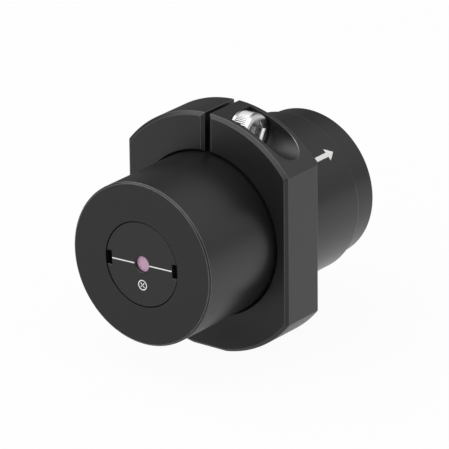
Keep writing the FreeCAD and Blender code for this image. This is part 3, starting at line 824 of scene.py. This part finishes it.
# %% Thread the set screws
def set_screw(name, along, outer, tip):
    """A headless screw along -Z, with its socket at the outer end. Sizes are distances from the axis."""
    rows = [loop(-outer + depth, radius, 96, "Z") for depth, radius in
            ((0.9, 0.02), (0.85, hexagon(0.85)), (0.05, hexagon(0.9)), (0.0, 0.56), (0.0, 0.8))]
    rows += threaded(-outer, -tip, 1.1, 0.93, 0.45, 96, "Z")
    corners, faces = capped(rows)
    return solid(name, ([(x, y + along, z) for x, y, z in corners], faces))


complete(set_screw("input_set_screw", -18.8, 14.99, 8.0), "input_lock", "input_lock_screw",
         black_oxide)
complete(set_screw("output_set_screw", 18.44, 14.99, 12.8), "output_lock", "output_lock_screw",
         black_oxide)

# %% [markdown]
# ## What stays as it is
# The windows, prisms, crystal, magnets and mounts have the right shape in the CAD model, and hardly any
# of it shows, so these nodes stay and only get their real finish.

# %% Finish the inner pieces
finishes = {
    "input_window": pink_window, "output_window": pink_window,
    "input_polariser_mount": mount_black, "output_polariser_mount": mount_black,
    "input_outer_prism": prism_glass, "input_inner_prism": prism_glass,
    "output_outer_prism": prism_glass, "output_inner_prism": prism_glass,
    "front_magnet": nickel, "centre_magnet": nickel, "rear_magnet": nickel,
    "magnet_retaining_ring": brass, "crystal_sleeve": brass,
    "crystal_front_spacer": brass, "crystal_rear_spacer": brass, "faraday_crystal": crystal}
for node, finish in finishes.items():
    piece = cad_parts[node]
    for material_slot in piece.material_slots:
        material_slot.material = finish
print(len(finishes), "inner pieces have their finish")

# %% [markdown]
# ## The studio
# A black part is lit by what it reflects. It stands on white paper, which fills the lower half of every
# reflection, under a room that is grey at the horizon and lighter overhead: so its flats show as dark
# grey and its edges as lighter lines. The floor is pale; most of what the camera sees of it is its own
# plain white, so that it runs into the background and still keeps the object's shadow. Gloss sees the
# lit paper in front of the object and the plain white behind it, except at the far back left, where
# the paper's glow is dimmed by a painted shade, as if it lay in the dusk of the studio.

# %% Floor and world
def where_seen(material, kinds):
    """The output that is 1 where the ray is of one of these kinds, such as Is Camera Ray, else 0."""
    path = add(material, "ShaderNodeLightPath").outputs
    seen = path[kinds[0]]
    for kind in kinds[1:]:
        seen = add(material, "ShaderNodeMath", {0: seen, 1: path[kind]}, operation="MAXIMUM").outputs["Value"]
    return seen


paper, paper_output = blank("white paper sweep")
paper_place = add(paper, "ShaderNodeTexCoord").outputs["Object"]
fibres = add(paper, "ShaderNodeTexNoise", {"Vector": paper_place, "Scale": 900.0, "Detail": 2.0})
paper_tone = add(paper, "ShaderNodeMapRange", {"Value": fibres.outputs["Fac"], "From Min": 0.3,
                                               "From Max": 0.7, "To Min": 0.985, "To Max": 1.0})
paper_shade = add(paper, "ShaderNodeVectorMath", {0: linear("#dedede")[:3],
                                                  "Scale": paper_tone.outputs["Result"]}, operation="SCALE")
matt = add(paper, "ShaderNodeBsdfDiffuse", {"Color": paper_shade.outputs["Vector"], "Roughness": 0.5})
by_camera = where_seen(paper, ("Is Camera Ray",))
spread = add(paper, "ShaderNodeVectorMath", {0: paper_place, 1: (-0.85, 0.53, 0.0)}, operation="DOT_PRODUCT")
# painted shade: the paper's glow dims towards the far back left
painted_dusk = add(paper, "ShaderNodeMapRange", {"Value": spread.outputs["Value"], "From Min": 0.05, "From Max": 0.11,
                                         "To Min": 1.0, "To Max": 0.12}).outputs["Result"]
strength = add(paper, "ShaderNodeMath", {0: by_camera, 1: painted_dusk}, operation="MAXIMUM").outputs["Value"]
glow = add(paper, "ShaderNodeEmission", {"Color": (1, 1, 1, 1), "Strength": strength})
behind = add(paper, "ShaderNodeMapRange", {"Value": add(paper, "ShaderNodeSeparateXYZ",
                                                        {0: paper_place}).outputs["Y"],
                                           "From Min": -0.015, "From Max": 0.01, "To Min": 0.15,
                                           "To Max": 1.0}).outputs["Result"]
in_gloss = add(paper, "ShaderNodeMath", {0: where_seen(paper, ("Is Glossy Ray", "Is Transmission Ray")),
                                         1: behind}, operation="MULTIPLY").outputs["Value"]
share = add(paper, "ShaderNodeMath", {0: by_camera, 1: 0.95, 2: in_gloss},
            operation="MULTIPLY_ADD").outputs["Value"]
sweep = add(paper, "ShaderNodeMixShader", {0: share, 1: matt.outputs[0], 2: glow.outputs[0]})
paper.node_tree.links.new(sweep.outputs[0], paper_output.inputs["Surface"])

floor_corners, floor_faces = skin([[(0.0, 0.0, 0.0)]] + [loop(0.0, r, 96, "Z") for r in (60, 200, 800, 6000)])
floor = solid("floor", (floor_corners, floor_faces))
floor.data.transform(Matrix.Scale(MM, 4))
floor.data.materials.append(paper)

world = bpy.data.worlds.new("studio")
bpy.context.scene.world = world
world.use_nodes = True
world.node_tree.nodes.clear()
world_output = add(world, "ShaderNodeOutputWorld")
even = add(world, "ShaderNodeBackground", {"Color": (1, 1, 1, 1), "Strength": 0.4})
white = add(world, "ShaderNodeBackground", {"Color": (1, 1, 1, 1), "Strength": 1.0})
ROOM_DARK, ROOM_LIGHT, WINDOW_SIDE = 0.18, 0.95, (0.6, 0.3, 0.74)
print("floor reaches", max(floor.dimensions) / 2, "m from the object")

# %% [markdown]
# What gloss sees of the room is worked out from the direction alone: dark grey, and lighter towards the
# upper right, as if from a window. Light Path keeps this apart from the plain white that the camera
# and glass see and from the even light that falls on the object.

# %% The room in reflections
towards = add(world, "ShaderNodeTexCoord").outputs["Generated"]
rising = add(world, "ShaderNodeVectorMath", {0: towards, 1: WINDOW_SIDE}, operation="DOT_PRODUCT")
level = add(world, "ShaderNodeMapRange", {"Value": rising.outputs["Value"], "From Min": 0.3, "From Max": 1.0,
                                          "To Min": ROOM_DARK, "To Max": ROOM_LIGHT},
            interpolation_type="SMOOTHSTEP")
room = add(world, "ShaderNodeBackground", {"Color": (1, 1, 1, 1), "Strength": level.outputs["Result"]})
glossy = where_seen(world, ("Is Glossy Ray",))
plain = where_seen(world, ("Is Camera Ray", "Is Transmission Ray"))
lit = add(world, "ShaderNodeMixShader", {0: glossy, 1: even.outputs[0], 2: room.outputs[0]})
seen = add(world, "ShaderNodeMixShader", {0: plain, 1: lit.outputs[0], 2: white.outputs[0]})
world.node_tree.links.new(seen.outputs[0], world_output.inputs["Surface"])
print("the room goes from", ROOM_DARK, "to", ROOM_LIGHT, "of white in reflections")

# %% [markdown]
# One large soft box hangs overhead and in front, as a photographer would set it for a dark part. None
# of the flats reflects it: only the chamfers do, and so they stand out as light lines. A smaller one at
# the left is there for the screw: its round head shows it all along its upper side, and little else
# does. The even light of the surroundings fills the rest.

# %% Soft boxes
def soft_box(name, across, along, energy, place):
    """A rectangular lamp of across by along metres that points at the object."""
    data = bpy.data.lights.new(name, "AREA")
    data.shape = "RECTANGLE"
    data.size, data.size_y, data.energy = across, along, energy
    lamp = bpy.data.objects.new(name, data)
    lamp.location = place
    lamp.rotation_euler = (-lamp.location).to_track_quat("-Z", "Y").to_euler()
    bpy.context.scene.collection.objects.link(lamp)
    print(name, "radiance", round(energy / (math.pi * across * along), 2))


soft_box("soft box in front", 1.8, 1.6, 13.6, (-0.06, -0.55, 0.95))
soft_box("soft box at the left", 1.2, 0.6, 3.2, (-0.85, 0.02, 0.85))

# %% [markdown]
# ## The camera
# The photograph was taken from far off with a long lens, which is why the ring's two faces look almost
# the same size. The angles below came from fitting the outline: 37 degrees round from the front, 21
# degrees up, and 0.9 m away. A sensor of 36 mm with a lens of 401 mm frames the same view.

# %% Set the camera
azimuth, elevation, roll, distance = 0.6450344, 0.3680992, -0.0105619, 897.281
back = Vector((math.sin(azimuth) * math.cos(elevation), -math.cos(azimuth) * math.cos(elevation),
               math.sin(elevation)))
right = Vector((math.cos(azimuth), math.sin(azimuth), 0))
upward = back.cross(right)
level_right = right * math.cos(roll) + upward * math.sin(roll)
level_up = upward * math.cos(roll) - right * math.sin(roll)
spot = (back * distance + level_right * 3.17564 + level_up * 1.44252 + Vector((0, -4.96, AXIS))) * MM
camera_data = bpy.data.cameras.new("portrait")
camera_data.sensor_width = 36
camera_data.lens = 5000.722 * 36 / 449
camera = bpy.data.objects.new("portrait", camera_data)
camera.matrix_world = Matrix.Translation(spot) @ Matrix((level_right, level_up, back)).transposed().to_4x4()
bpy.context.scene.collection.objects.link(camera)
bpy.context.scene.camera = camera
bpy.context.scene.view_settings.view_transform = "Standard"
print("camera at", [round(v, 4) for v in spot], "lens", round(camera_data.lens, 1))
